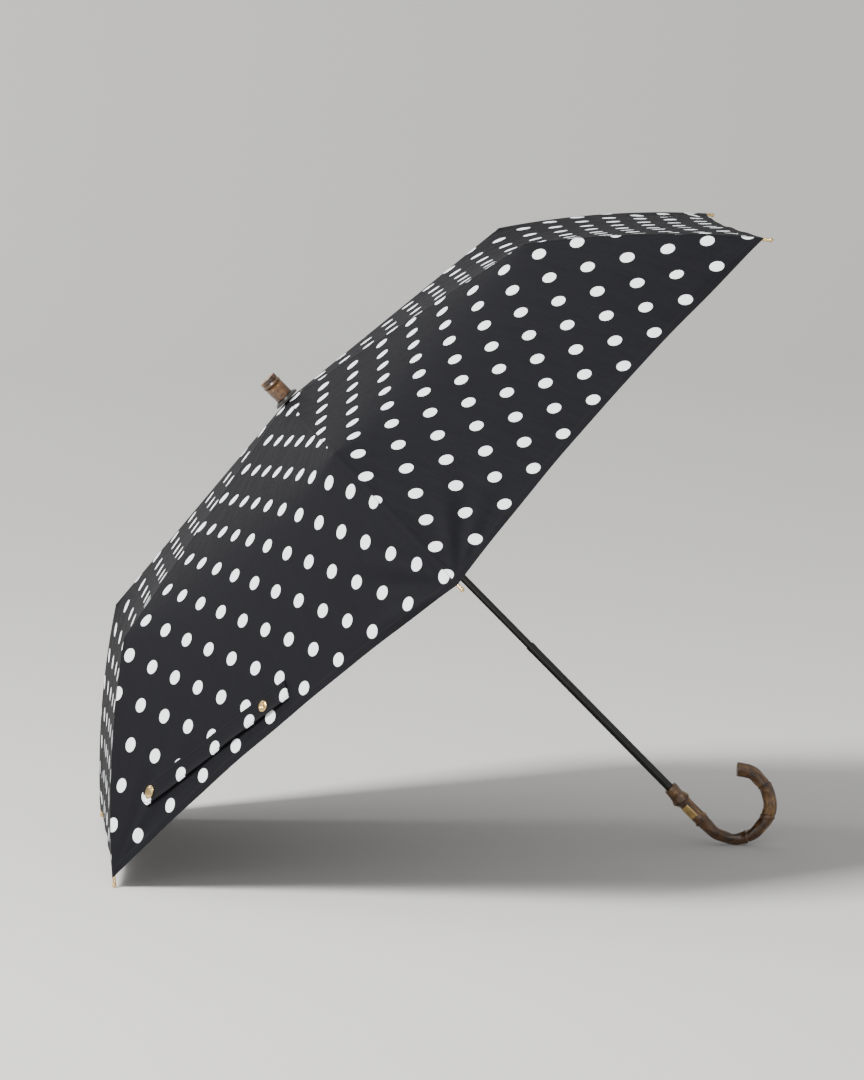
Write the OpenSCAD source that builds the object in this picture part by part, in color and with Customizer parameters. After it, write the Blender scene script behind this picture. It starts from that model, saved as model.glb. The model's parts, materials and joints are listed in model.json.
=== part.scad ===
// Compact folding umbrella with six three-piece ribs, a three-piece shaft and a
// bamboo crook handle, open and lying on two of its rib tips and its crook.
//
// Every piece is drawn in the umbrella's own frame and then laid down. In that frame
// Z runs up the shaft with the canopy's crown at zero, and the crook curls towards +X.
// Each rib lies in an upright plane through the shaft. A place in such a plane is
// written [distance out from the shaft, height above the crown].

/* [Canopy] */
// Distance from the shaft to the fabric's corner at each rib
canopy_r = 447; // [430:1:460]
// Drop of those corners below the crown
canopy_drop = 166; // [155:1:175]
// Distance from the shaft to the bend in each rib
bend_r = 278; // [270:1:285]
// Drop of the bend below the crown
bend_drop = 35; // [30:1:40]
// How far the hem curves in half-way between two ribs
hem_dip = 5; // [0:1:10]
// Thickness of the fabric
fabric_t = 0.6; // [0.4:0.1:0.8]

/* [Ribs] */
// Width of the ribs across their own plane
rib_w = 2; // [1.8:0.1:2.2]
// Height of the two inner pieces of each rib
rib_h = 2.4; // [2:0.1:2.6]
// Height of the outer piece of each rib
outer_rib_h = 2; // [1.6:0.1:2.2]
// Share of the straight inner span taken by the innermost piece
inner_share = 0.5; // [0.48:0.01:0.52]
// Distance from the crown hinge to the stretcher's hinge
stretcher_reach = 75; // [70:1:80]
// Length of the stretcher between its hinges
stretcher_len = 95; // [90:1:100]
// How far the outer piece of each rib bows outwards between its ends
rib_bow = 6; // [1:1:8]

/* [Shaft] */
// Distance from the crown to the top of the handle
shaft_len = 483; // [470:1:495]
// Length of lower tube that shows
lower_len = 178; // [170:1:185]
// Length of middle tube that shows
middle_len = 150; // [145:1:155]
// Outer radius of the lower tube
lower_r = 3.9; // [3.8:0.05:4]
// Wall of each tube
tube_wall = 0.55; // [0.5:0.05:0.6]
// Radial clearance between two tubes
tube_gap = 0.05; // [0.03:0.01:0.08]
// Length of each tube held inside the next one
tube_hold = 20; // [15:1:25]

/* [Handle] */
// Length of the straight grip
grip_len = 51.5; // [45:0.5:58]
// Radius of the crook along its centre line
crook_r = 31; // [28:0.5:34]
// Sweep of the crook
crook_sweep = 222; // [200:1:230]
// Radius of the bamboo in the bottom of the crook
bamboo_r = 5.6; // [5:0.1:6]
// Radius of the bamboo in the rise of the crook
rise_r = 6; // [5.6:0.1:6.2]

/* [Top] */
// Radius of the cap over the crown
cap_r = 12; // [10:0.5:14]
// Radius of the ferrule
ferrule_r = 8.5; // [8:0.1:9]
// Length of the ferrule
ferrule_len = 22; // [18:1:26]

/* [Strap] */
// Length of the closing strap
strap_len = 186; // [170:1:190]
// Width of the closing strap
strap_w = 17; // [14:1:20]
// Tilt of the strap against the hem
strap_tilt = 3.3; // [0:0.1:4]

/* [Hidden] */
$fn = 48;

ribs = 6;
half_gore = 180 / ribs;
first_rib = -90;

metal = "#1b1b1d";
fabric = "#2b2b2e";
bamboo = "#7a5432";
brass = "#c9a24e";

// Hinges: every pin is a short cylinder in its own bore
pin_r = 0.5;
pin_gap = 0.06;
eye_r = 1.45;
pin_head_r = 0.9;
pin_head_t = 0.35;
// Each fold's pin sits to one side of the bars, so that they lie flat when folded
pin_side = 1.4;
fork_gap = 0.1;
fork_t = 0.8;
fork_len = 6;
fork_w = rib_w + 2 * fork_gap + 2 * fork_t;
root_len = 6;
bar_end = 1.9;
// Bars run this far under the fabric
bar_under = 2.2;

hub_pin = [8, -7];
hub_top = -2.6;
hub_h = 10;
hub_r = 10.4;
slot_w = rib_w + 0.4;
slot_start = 5.9;
hole_r = 3.2;
zone_gap = 0.3;
seam_gap = 0.3;

// Directions in a rib's plane, as angles above the level
function along(dir) = [cos(dir), sin(dir)];
function above(dir) = [-sin(dir), cos(dir)];

inner_fabric_dir = atan2(-bend_drop, bend_r);
outer_dir = atan2(bend_drop - canopy_drop, canopy_r - bend_r);
bend_normal = above(inner_fabric_dir) + above(outer_dir);
bend_turn = 1 + above(inner_fabric_dir) * above(outer_dir);
bend_pin = [bend_r, -bend_drop] - (bar_under + pin_side) * bend_normal / bend_turn;

// The two inner pieces lie on one line, with the bend's pin to its lower side
span = bend_pin - hub_pin;
inner_dir = atan2(span.y, span.x) + asin(pin_side / norm(span));
line_len = sqrt(norm(span) ^ 2 - pin_side ^ 2);
inner_len = round(line_len * inner_share);
middle_rib_len = line_len - inner_len;
elbow_pin = hub_pin + inner_len * along(inner_dir) + pin_side * above(inner_dir);
outer_len = ([canopy_r, -canopy_drop] - bend_pin) * along(outer_dir);

// The outer piece is an arc over the straight line from the bend's pin to the tip
tip_past = 6;
chord = outer_len + tip_past;
bow_r = (chord ^ 2 / 4 + rib_bow ^ 2) / (2 * rib_bow);
bow_half = asin(chord / 2 / bow_r);
function bow_at(x) = sqrt(bow_r ^ 2 - (x - chord / 2) ^ 2) - bow_r + rib_bow;

// Stretcher and runner
arm_pin = hub_pin + stretcher_reach * along(inner_dir);
runner_pin_r = 9;
arm_out = arm_pin.x - runner_pin_r;
runner_z = arm_pin.y - sqrt(stretcher_len ^ 2 - arm_out ^ 2);
runner_pin = [runner_pin_r, runner_z];
stretcher_dir = atan2(arm_pin.y - runner_z, arm_out);
runner_bore = lower_r + 0.3;
sleeve_r = 6.6;
sleeve_drop = 26;
sleeve_rise = 5;
flange_r = 11.4;
flange_h = 6.4;
grip_r = 8.8;
grip_h = 5;
button_drop = 12;
stem_r = 1.8;
button_r = 2.6;
button_out = 8;
button_t = 1.2;
button_gap = 1.2;

// Tubes: the collars stay thin enough for the runner to pass
middle_r = lower_r - tube_wall - tube_gap;
upper_r = middle_r - tube_wall - tube_gap;
handle_z = -shaft_len;
lower_top = handle_z + lower_len;
middle_top = lower_top + middle_len;
socket_depth = 32;
collar_h = 5;
lower_collar_r = lower_r + 0.2;
socket_r = lower_r - 0.2;
middle_collar_r = middle_r + 0.4;
tube_into_ferrule = 16;

// Cap and ferrule
cap_z = 0.7;
cap_h = 3.2;
cap_edge = 1.2;
ferrule_z = cap_z + cap_h;
ferrule_node_r = 0.9;

// Handle
crook_z = handle_z - grip_len;
tip_ball_r = 1.9;
tip_r = 1.4;
tip_len = 14;

// Lean of the shaft at which two rib tips and the crook all touch the floor
tip_pin = bend_pin + chord * along(outer_dir) + pin_side * above(outer_dir);
tip_x = -tip_pin.x * cos(half_gore);
lean_a = crook_r - tip_x;
lean_b = tip_pin.y - crook_z;
lean_c = crook_r + bamboo_r - tip_ball_r;
lean = acos(lean_c / norm([lean_a, lean_b])) - atan2(lean_b, lean_a);
crown_z = -crook_z * sin(lean) - crook_r * cos(lean) + crook_r + bamboo_r;
left_x = tip_x * sin(lean) - tip_pin.y * cos(lean) - tip_ball_r;
right_x = crook_r * sin(lean) - crook_z * cos(lean) + crook_r + rise_r;

module laid()
    translate([-(left_x + right_x) / 2, 0, crown_z]) rotate([0, lean - 90, 0]) children();

module at_rib(i)
    laid() rotate([0, 0, first_rib + i * 2 * half_gore]) children();

// Put a bar drawn along +X at a pin in the rib's plane, pointing along dir
module from_pin(pin, dir)
    translate([pin.x, 0, pin.y]) rotate([0, -dir, 0]) children();

// A cylinder across the rib's plane
module across(r, w)
    rotate([90, 0, 0]) cylinder(h = w, r = r, center = true);

// A bar from x0 to x1, of width w, about the height z
module bar(x0, x1, z, h, w = rib_w)
    translate([x0, -w / 2, z - h / 2]) cube([x1 - x0, w, h]);

module pin_bore()
    across(pin_r + pin_gap, 4 * rib_w);

// A pin across a fork, with its two heads
module fork_pin() {
    across(pin_r, fork_w);
    for (side = [-1, 1])
        translate([0, side * (fork_w + pin_head_t) / 2, 0]) across(pin_head_r, pin_head_t);
}

// The fork at a bar's end: the bar is at height 0 and the pin at height side * pin_side
module fork(x, side, h) {
    bar(x - fork_len - root_len, x - fork_len + 0.01, 0, h, fork_w);
    for (y = [-1, 1])
        translate([0, y * (rib_w / 2 + fork_gap + fork_t / 2), 0]) {
            translate([x, 0, side * pin_side]) across(eye_r, fork_t);
            translate([x - fork_len, -fork_t / 2, -h / 2]) cube([fork_len, fork_t, h]);
            bar(x - 2, x + eye_r, side * h / 4, h / 2, fork_t);
        }
    translate([x, 0, side * pin_side]) fork_pin();
}

module inner_rib(i)
    color(metal) at_rib(i) from_pin(hub_pin, inner_dir) {
        difference() {
            union() {
                across(eye_r, rib_w);
                bar(0, inner_len - bar_end, 0, rib_h);
                translate([stretcher_reach, 0, 0]) across(rib_h / 2 + 0.5, rib_w);
            }
            pin_bore();
        }
        fork(inner_len, 1, rib_h);
    }

module middle_rib(i)
    color(metal) at_rib(i) from_pin(elbow_pin, inner_dir) {
        difference() {
            union() {
                across(eye_r, rib_w);
                bar(0, middle_rib_len - bar_end, -pin_side, rib_h);
            }
            pin_bore();
        }
        translate([0, 0, -pin_side]) fork(middle_rib_len, -1, rib_h);
    }

tip_turn = 2 * asin(tip_len / 2 / bow_r);

// The bowed bar from the bend's pin to the start of the tip
module bowed_bar()
    translate([chord / 2, 0, pin_side - bow_r + rib_bow]) rotate([90, 0, 0])
        rotate([0, 0, 90 - bow_half + tip_turn])
            rotate_extrude(angle = 2 * bow_half - tip_turn)
                translate([bow_r - outer_rib_h / 2, -rib_w / 2]) square([outer_rib_h, rib_w]);

module outer_rib(i)
    color(metal) at_rib(i) from_pin(bend_pin, outer_dir) difference() {
        union() {
            across(eye_r, rib_w);
            bowed_bar();
        }
        pin_bore();
    }

module rib_tip(i)
    color(brass) at_rib(i) from_pin(bend_pin, outer_dir)
        translate([chord, 0, pin_side]) {
            rotate([0, bow_half - tip_turn / 2 - 90, 0]) cylinder(h = tip_len, r = tip_r);
            sphere(tip_ball_r);
        }

// A channel whose walls straddle the inner rib, open towards the canopy
wall_t = 0.8;
wall_y = rib_w / 2 + 0.3;
channel_w = 2 * (wall_y + wall_t);
web_t = 0.6;
tongue_len = 9;
ear_len = 16;

module stretcher(i)
    color(metal) at_rib(i) from_pin(runner_pin, stretcher_dir) {
        difference() {
            union() {
                across(eye_r, rib_w);
                bar(0, tongue_len, 0, rib_h);
            }
            pin_bore();
        }
        bar(tongue_len - 3, tongue_len, 0, rib_h, channel_w);
        bar(tongue_len, stretcher_len - ear_len, (web_t - rib_h) / 2, web_t, channel_w);
        for (side = [-1, 1]) {
            translate([0, side * (wall_y + wall_t / 2), 0]) {
                bar(tongue_len, stretcher_len, 0, rib_h, wall_t);
                translate([stretcher_len, 0, 0]) across(rib_h / 2 + 0.4, wall_t);
            }
            translate([stretcher_len, side * (channel_w / 2 + pin_head_t), 0])
                across(pin_head_r + 0.4, 2 * pin_head_t);
        }
    }

// A plain round ring or tube
module ring(z, h, inner, outer)
    translate([0, 0, z]) difference() {
        cylinder(h = h, r = outer);
        translate([0, 0, -1]) cylinder(h = h + 2, r = inner);
    }

// A ring of material cut by one slot for each rib, with a pin across each slot
module slotted_ring(z, h, r, pin_out, pin_z) {
    difference() {
        translate([0, 0, z]) cylinder(h = h, r = r);
        for (i = [0 : ribs - 1])
            rotate([0, 0, first_rib + i * 2 * half_gore])
                translate([slot_start + (pin_out - hub_pin.x), -slot_w / 2, z - 1])
                    cube([r, slot_w, h + 2]);
    }
    for (i = [0 : ribs - 1])
        rotate([0, 0, first_rib + i * 2 * half_gore])
            translate([pin_out, 0, pin_z]) across(pin_r, slot_w + 1);
}

module crown_hub()
    color(metal) laid() difference() {
        slotted_ring(hub_top - hub_h, hub_h, hub_r, hub_pin.x, hub_pin.y);
        translate([0, 0, hub_top - hub_h - 1]) cylinder(h = hub_h + 2, r = upper_r);
    }

module runner()
    color(metal) laid() translate([0, 0, runner_z]) difference() {
        union() {
            slotted_ring(-flange_h / 2, flange_h, flange_r, runner_pin_r, 0);
            translate([0, 0, -sleeve_drop]) cylinder(h = sleeve_drop + sleeve_rise, r = sleeve_r);
            translate([0, 0, -sleeve_drop]) cylinder(h = grip_h, r = grip_r);
        }
        translate([0, 0, -sleeve_drop - 1])
            cylinder(h = sleeve_drop + sleeve_rise + 2, r = runner_bore);
        translate([0, 0, -button_drop]) rotate([0, -90, 0])
            cylinder(h = grip_r + 2, r = stem_r + tube_gap);
    }

module runner_button()
    color(metal) laid() translate([0, 0, runner_z - button_drop]) rotate([0, -90, 0]) {
        translate([0, 0, runner_bore + button_gap + 0.2])
            cylinder(h = button_out - runner_bore - button_gap, r = stem_r);
        translate([0, 0, button_out]) cylinder(h = button_t, r = button_r);
    }

// Under its collar and inside the handle the tube is drawn in a little
module lower_tube()
    color(metal) laid() difference() {
        union() {
            translate([0, 0, handle_z - socket_depth])
                cylinder(h = lower_len + socket_depth, r = socket_r);
            translate([0, 0, handle_z]) cylinder(h = lower_len - collar_h, r = lower_r);
        }
        translate([0, 0, handle_z - socket_depth - 1])
            cylinder(h = lower_len + socket_depth + 2, r = lower_r - tube_wall);
    }

module lower_collar()
    color(metal) laid() ring(lower_top - collar_h, collar_h, socket_r, lower_collar_r);

module middle_tube()
    color(metal) laid() ring(
        lower_top - tube_hold, middle_len + tube_hold, middle_r - tube_wall, middle_r);

module middle_collar()
    color(metal) laid() ring(middle_top - collar_h, collar_h, middle_r, middle_collar_r);

module upper_tube()
    color(metal) laid() ring(
        middle_top - tube_hold, tube_into_ferrule + tube_hold - middle_top,
        upper_r - tube_wall, upper_r);

module crown_cap()
    color(metal) laid() rotate_extrude() polygon([
        [upper_r, cap_z],
        [cap_r, cap_z],
        [cap_r, cap_z + cap_edge],
        [ferrule_r + 0.6, ferrule_z],
        [upper_r, ferrule_z]
    ]);

module ferrule()
    color(bamboo) laid() difference() {
        union() {
            translate([0, 0, ferrule_z]) cylinder(h = ferrule_len, r = ferrule_r);
            translate([0, 0, ferrule_z + ferrule_len * 0.72]) rotate_extrude()
                translate([ferrule_r - 0.4, 0]) circle(ferrule_node_r);
        }
        translate([0, 0, ferrule_z - 1])
            cylinder(h = tube_into_ferrule - ferrule_z + 1, r = upper_r);
    }

// The handle's straight grip, from its top down: radius and depth of each station
grip_top_r = 6.2;
swell_r = 7.6;
plate_seat_r = 6;
plate_top = 19;
plate_end = 36;

// A stretch of the crook between two angles, counted from its straight end
module crook_arc(from, sweep, r)
    translate([crook_r, 0, crook_z]) rotate([-90, 0, 0]) rotate([0, 0, 180 - from - sweep])
        rotate_extrude(angle = sweep) translate([crook_r, 0]) circle(r);

module crook_knot(angle, r)
    translate([crook_r - crook_r * cos(angle), 0, crook_z - crook_r * sin(angle)]) sphere(r);

knot_1 = 18;
knot_2 = 84;
knot_3 = 170;

module handle()
    color(bamboo) laid() difference() {
        union() {
            translate([0, 0, handle_z]) rotate_extrude() polygon([
                [0, 0],
                [grip_top_r - 0.6, 0],
                [grip_top_r, -0.8],
                [grip_top_r + 0.4, -9],
                [swell_r, -13],
                [swell_r, -16],
                [plate_seat_r, -plate_top],
                [plate_seat_r, -plate_end],
                [bamboo_r + 0.7, -plate_end - 4],
                [bamboo_r + 0.7, -plate_end - 6],
                [bamboo_r, -plate_end - 9],
                [bamboo_r, -grip_len],
                [0, -grip_len]
            ]);
            crook_arc(0, knot_2, bamboo_r);
            crook_arc(knot_2, crook_sweep - knot_2, rise_r);
            crook_knot(knot_1, bamboo_r + 0.6);
            crook_knot(knot_2, rise_r + 0.5);
            crook_knot(knot_3, rise_r + 0.6);
        }
        translate([0, 0, handle_z - socket_depth]) cylinder(h = socket_depth + 1, r = socket_r);
    }

plate_t = 0.5;
plate_len = 13;
plate_turn = 235;
plate_spread = 80;

module handle_plate()
    color(brass) laid() translate([0, 0, handle_z - plate_top - 2 - plate_len])
        rotate([0, 0, plate_turn - plate_spread / 2]) rotate_extrude(angle = plate_spread)
            translate([plate_seat_r, 0]) square([plate_t, plate_len]);

module plate_pins()
    color(brass) laid() for (z = [2, plate_len - 2])
        translate([0, 0, handle_z - plate_top - 2 - z]) rotate([0, 90, plate_turn])
            translate([0, 0, plate_seat_r + plate_t]) cylinder(h = 0.5, r = 0.9);

// Fabric around one rib between two places on it, reaching half-way to each neighbour
function wedge_edge(p) = [
    for (side = [-1, 0, 1])
        let (out = p.x * (side == 0 ? 1 : cos(half_gore)))
            [out * cos(side * half_gore) + side * sin(side * half_gore) * seam_gap / 2,
             out * sin(side * half_gore) - side * cos(half_gore) * seam_gap / 2,
             p.y]
];

// The hem's two corners drawn back along the fabric by the hem's dip
function dipped(hem, last) = [
    for (k = [0 : 2])
        k == 1 ? hem[k] : hem[k] + (last[k] - hem[k]) * hem_dip / norm(last[k] - hem[k])
];

// Fabric through rows of three points each, given from the crown's side outwards
module fabric_wedge(rows) {
    n = len(rows);
    last = 3 * n - 3;
    under = 3 * n;
    polyhedron(
        points = concat(
            [for (row = rows) for (p = row) p],
            [for (row = rows) for (p = row) p - [0, 0, fabric_t]]),
        faces = concat(
            [for (k = [0 : 3 : last - 3]) for (j = [k, k + 1]) [j, j + 1, j + 4, j + 3]],
            [for (k = [0 : 3 : last - 3]) for (j = [k, k + 1])
                [under + j + 3, under + j + 4, under + j + 1, under + j]],
            [for (k = [0 : 3 : last - 3]) [k, k + 3, under + k + 3, under + k]],
            [for (k = [2 : 3 : last - 1]) [k + 3, k, under + k, under + k + 3]],
            [for (j = [0, 1]) [j + 1, j, under + j, under + j + 1]],
            [for (j = [last, last + 1]) [j, j + 1, under + j + 1, under + j]]));
}

module canopy_inner(i)
    color(fabric) at_rib(i) fabric_wedge([
        wedge_edge(hole_r * [1, -bend_drop / bend_r]),
        wedge_edge([bend_r, -bend_drop] - zone_gap / 2 * along(inner_fabric_dir))
    ]);

// Shares of the outer fabric's length at which it changes slope along its bow
row_shares = [0, 0.18, 0.36, 0.54, 0.7, 0.9, 1];
fabric_start = ([bend_r, -bend_drop] - bend_pin) * along(outer_dir) + zone_gap / 2;
outer_rows = [
    for (share = row_shares)
        let (x = fabric_start + share * (outer_len - fabric_start))
            bend_pin + x * along(outer_dir)
                + (pin_side + bar_under + bow_at(x)) * above(outer_dir)
];

module canopy_outer(i) {
    rows = [for (p = outer_rows) wedge_edge(p)];
    n = len(rows) - 1;
    color(fabric) at_rib(i) fabric_wedge([
        for (k = [0 : n]) k < n ? rows[k] : dipped(rows[n], rows[n - 1])
    ]);
}

// The strap lies on one flat of the gore between the last rib and the first. X runs
// down that flat from its upper edge, and Y runs towards the first rib
strap_row = 4;
flat_top = outer_rows[strap_row];
flat_end = outer_rows[strap_row + 1];
gore_out = cos(half_gore);
gore_dir = atan2(flat_end.y - flat_top.y, (flat_end.x - flat_top.x) * gore_out);
strap_gore = first_rib - half_gore;
strap_t = 0.9;
strap_over = 0.5;
snap_x = 14;
snap_y = -155;
snap_r = 5.2;
snap_t = 1.4;
stud_y = 146;
stud_r = 4.2;
stud_hole_r = 1.8;
stud_t = 1;

module on_strap()
    laid() rotate([0, 0, strap_gore]) translate([flat_top.x * gore_out, 0, flat_top.y])
        rotate([0, -gore_dir, 0]) translate([snap_x, snap_y, strap_over])
            rotate([0, 0, -strap_tilt]) children();

module strap()
    color(fabric) on_strap() {
        translate([-strap_w / 2, 0, 0]) cube([strap_w, strap_len - strap_w / 2, strap_t]);
        cylinder(h = strap_t, r = strap_w / 2);
    }

module strap_snap()
    color(brass) on_strap() translate([0, 0, strap_t]) {
        cylinder(h = snap_t * 0.6, r = snap_r);
        cylinder(h = snap_t, r = snap_r * 0.7);
    }

module strap_stud()
    color(brass) on_strap() translate([0, stud_y, strap_t]) difference() {
        cylinder(h = stud_t, r = stud_r);
        translate([0, 0, -1]) cylinder(h = stud_t + 2, r = stud_hole_r);
    }

handle();
handle_plate();
plate_pins();
lower_tube();
lower_collar();
middle_tube();
middle_collar();
upper_tube();
crown_hub();
crown_cap();
ferrule();
runner();
runner_button();
for (i = [0 : ribs - 1]) {
    inner_rib(i);
    middle_rib(i);
    outer_rib(i);
    rib_tip(i);
    stretcher(i);
    canopy_inner(i);
    canopy_outer(i);
}
strap();
strap_snap();
strap_stud();
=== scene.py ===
import json
from math import cos, radians, sin
import bpy
import numpy as np
from mathutils import Vector
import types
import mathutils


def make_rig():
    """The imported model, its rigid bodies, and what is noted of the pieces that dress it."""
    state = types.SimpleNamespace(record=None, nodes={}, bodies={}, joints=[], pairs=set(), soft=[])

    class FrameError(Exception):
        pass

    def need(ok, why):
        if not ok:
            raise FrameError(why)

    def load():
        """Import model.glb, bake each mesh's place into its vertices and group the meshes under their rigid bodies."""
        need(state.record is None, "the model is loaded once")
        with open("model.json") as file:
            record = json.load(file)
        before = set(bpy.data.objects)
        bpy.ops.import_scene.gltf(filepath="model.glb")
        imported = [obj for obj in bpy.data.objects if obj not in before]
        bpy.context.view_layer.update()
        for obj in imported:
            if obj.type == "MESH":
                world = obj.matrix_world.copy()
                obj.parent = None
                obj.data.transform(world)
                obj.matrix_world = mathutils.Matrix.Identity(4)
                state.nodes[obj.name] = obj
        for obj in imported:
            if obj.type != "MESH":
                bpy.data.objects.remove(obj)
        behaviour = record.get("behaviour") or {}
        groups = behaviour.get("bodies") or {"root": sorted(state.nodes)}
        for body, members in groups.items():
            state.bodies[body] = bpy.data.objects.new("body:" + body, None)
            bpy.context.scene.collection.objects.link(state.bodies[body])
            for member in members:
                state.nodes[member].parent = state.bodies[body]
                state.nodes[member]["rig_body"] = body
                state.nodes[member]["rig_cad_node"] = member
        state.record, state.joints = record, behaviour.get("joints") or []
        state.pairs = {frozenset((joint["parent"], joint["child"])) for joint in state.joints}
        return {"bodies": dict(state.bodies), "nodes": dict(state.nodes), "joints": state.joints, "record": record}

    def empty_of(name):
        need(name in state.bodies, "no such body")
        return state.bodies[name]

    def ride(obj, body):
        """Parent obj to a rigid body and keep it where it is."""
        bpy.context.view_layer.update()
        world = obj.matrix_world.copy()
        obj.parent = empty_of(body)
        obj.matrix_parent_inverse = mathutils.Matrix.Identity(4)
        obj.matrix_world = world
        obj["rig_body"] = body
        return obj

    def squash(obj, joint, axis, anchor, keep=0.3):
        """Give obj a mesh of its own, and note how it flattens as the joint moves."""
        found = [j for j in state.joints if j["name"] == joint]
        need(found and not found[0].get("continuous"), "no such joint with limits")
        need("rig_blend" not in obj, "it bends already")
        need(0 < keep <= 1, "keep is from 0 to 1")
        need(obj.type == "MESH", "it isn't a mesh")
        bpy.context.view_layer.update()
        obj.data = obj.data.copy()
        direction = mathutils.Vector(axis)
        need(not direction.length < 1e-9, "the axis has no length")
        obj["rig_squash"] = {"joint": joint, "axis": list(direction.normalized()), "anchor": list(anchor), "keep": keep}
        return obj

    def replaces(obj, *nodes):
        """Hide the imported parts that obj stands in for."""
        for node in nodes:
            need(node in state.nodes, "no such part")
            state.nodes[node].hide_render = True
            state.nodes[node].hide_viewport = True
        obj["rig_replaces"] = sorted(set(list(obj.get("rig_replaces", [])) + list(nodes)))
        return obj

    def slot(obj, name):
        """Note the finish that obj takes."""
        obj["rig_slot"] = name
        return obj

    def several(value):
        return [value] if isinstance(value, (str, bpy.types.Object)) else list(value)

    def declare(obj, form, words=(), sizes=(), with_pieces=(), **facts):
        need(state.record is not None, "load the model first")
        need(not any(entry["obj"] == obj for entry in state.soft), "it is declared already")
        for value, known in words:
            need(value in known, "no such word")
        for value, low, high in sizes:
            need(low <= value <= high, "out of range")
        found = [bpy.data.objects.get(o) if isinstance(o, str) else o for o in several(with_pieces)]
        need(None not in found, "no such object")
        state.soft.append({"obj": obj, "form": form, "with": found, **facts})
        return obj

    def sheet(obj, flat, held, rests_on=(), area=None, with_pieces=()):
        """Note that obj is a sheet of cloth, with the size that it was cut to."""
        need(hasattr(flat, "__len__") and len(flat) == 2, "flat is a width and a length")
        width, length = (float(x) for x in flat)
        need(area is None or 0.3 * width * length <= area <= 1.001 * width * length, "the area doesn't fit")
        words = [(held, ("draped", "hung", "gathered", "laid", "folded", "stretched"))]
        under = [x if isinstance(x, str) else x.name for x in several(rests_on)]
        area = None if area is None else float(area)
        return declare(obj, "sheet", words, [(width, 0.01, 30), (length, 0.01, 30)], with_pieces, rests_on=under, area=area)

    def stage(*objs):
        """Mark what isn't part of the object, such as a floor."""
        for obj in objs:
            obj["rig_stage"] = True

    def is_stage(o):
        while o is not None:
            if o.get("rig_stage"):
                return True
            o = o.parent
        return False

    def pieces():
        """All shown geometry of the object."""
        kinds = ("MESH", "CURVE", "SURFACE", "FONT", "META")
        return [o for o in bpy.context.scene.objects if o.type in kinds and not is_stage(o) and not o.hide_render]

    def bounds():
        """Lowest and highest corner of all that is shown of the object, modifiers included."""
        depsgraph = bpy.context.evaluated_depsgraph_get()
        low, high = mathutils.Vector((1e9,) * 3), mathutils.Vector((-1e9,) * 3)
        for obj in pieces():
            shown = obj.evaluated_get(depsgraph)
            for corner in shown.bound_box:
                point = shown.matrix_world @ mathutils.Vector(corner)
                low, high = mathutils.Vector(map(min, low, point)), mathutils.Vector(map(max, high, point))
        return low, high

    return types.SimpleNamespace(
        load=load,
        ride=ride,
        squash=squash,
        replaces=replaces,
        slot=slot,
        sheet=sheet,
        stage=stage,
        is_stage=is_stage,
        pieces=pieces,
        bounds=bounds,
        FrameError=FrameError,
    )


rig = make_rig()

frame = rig.load()
boundsBefore = [list(corner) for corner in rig.bounds()]
joints = {j["name"]: j for j in frame["joints"]}
print("stage: frame loaded,", len(frame["nodes"]), "CAD nodes")

camera = {
    "azimuth": -4.04,       # degrees, seen slightly from the crown's side
    "elevation": 5.38,      # degrees above the floor
    "distance": 6.1,        # metres from the target
    "target": (-0.009, 0.0, 0.273),
    "lens": 231.2,          # millimetres, for 36 mm on the long side
    "sensor": 36.0,
    "nearest": 0.1,
    "farthest": 100.0,
}


def aimCamera(settings):
    data = bpy.data.cameras.new("camera")
    data.lens = settings["lens"]
    data.sensor_width = settings["sensor"]
    data.clip_start = settings["nearest"]
    data.clip_end = settings["farthest"]
    holder = bpy.data.objects.new("camera", data)
    bpy.context.scene.collection.objects.link(holder)
    a, e = radians(settings["azimuth"]), radians(settings["elevation"])
    back = Vector((sin(a) * cos(e), -cos(a) * cos(e), sin(e)))
    holder.location = Vector(settings["target"]) + back * settings["distance"]
    holder.rotation_mode = "QUATERNION"
    holder.rotation_quaternion = (-back).to_track_quat("-Z", "Y")
    return holder


bpy.context.scene.camera = aimCamera(camera)
print("stage: camera placed")

# The umbrella's own frame: up the shaft, across the umbrella, and towards the crook.
# Its origin is the crown, a little above the ribs' hinges.
crownAboveHinges = 0.007
shaftUp = -np.array(joints["middle_tube_slide"]["axis"], float)
shaftUp /= np.linalg.norm(shaftUp)
acrossDir = np.array([0.0, 1.0, 0.0])
crookDir = np.cross(acrossDir, shaftUp)
crownHinges = ["canopy_fold"] + ["rib_%d_crown" % i for i in range(1, 6)]
crown = np.mean([joints[n]["pos_m"] for n in crownHinges], axis=0) + crownAboveHinges * shaftUp


def toRow(points):
    # from the umbrella's own frame, last axis x, y, z, to the scene
    return crown + turnToRow(points)


def turnToRow(vectors):
    return np.asarray(vectors, float) @ np.stack([crookDir, acrossDir, shaftUp])


def addUv(mesh, name, values):
    # one (u, v) per vertex
    corners = np.empty(len(mesh.loops), np.int32)
    mesh.loops.foreach_get("vertex_index", corners)
    layer = mesh.uv_layers.new(name=name)
    layer.data.foreach_set("uv", np.asarray(values, np.float32)[corners].ravel())


def addObject(name, vertices, faces, uvs=None):
    # uvs: dictionary of map name to one (u, v) per vertex
    mesh = bpy.data.meshes.new(name)
    mesh.from_pydata(np.asarray(vertices).tolist(), [], [list(f) for f in faces])
    mesh.update()
    for mapName, values in (uvs or {}).items():
        addUv(mesh, mapName, values)
    mesh.polygons.foreach_set("use_smooth", np.ones(len(mesh.polygons), bool))
    made = bpy.data.objects.new(name, mesh)
    bpy.context.scene.collection.objects.link(made)
    return made


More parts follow.
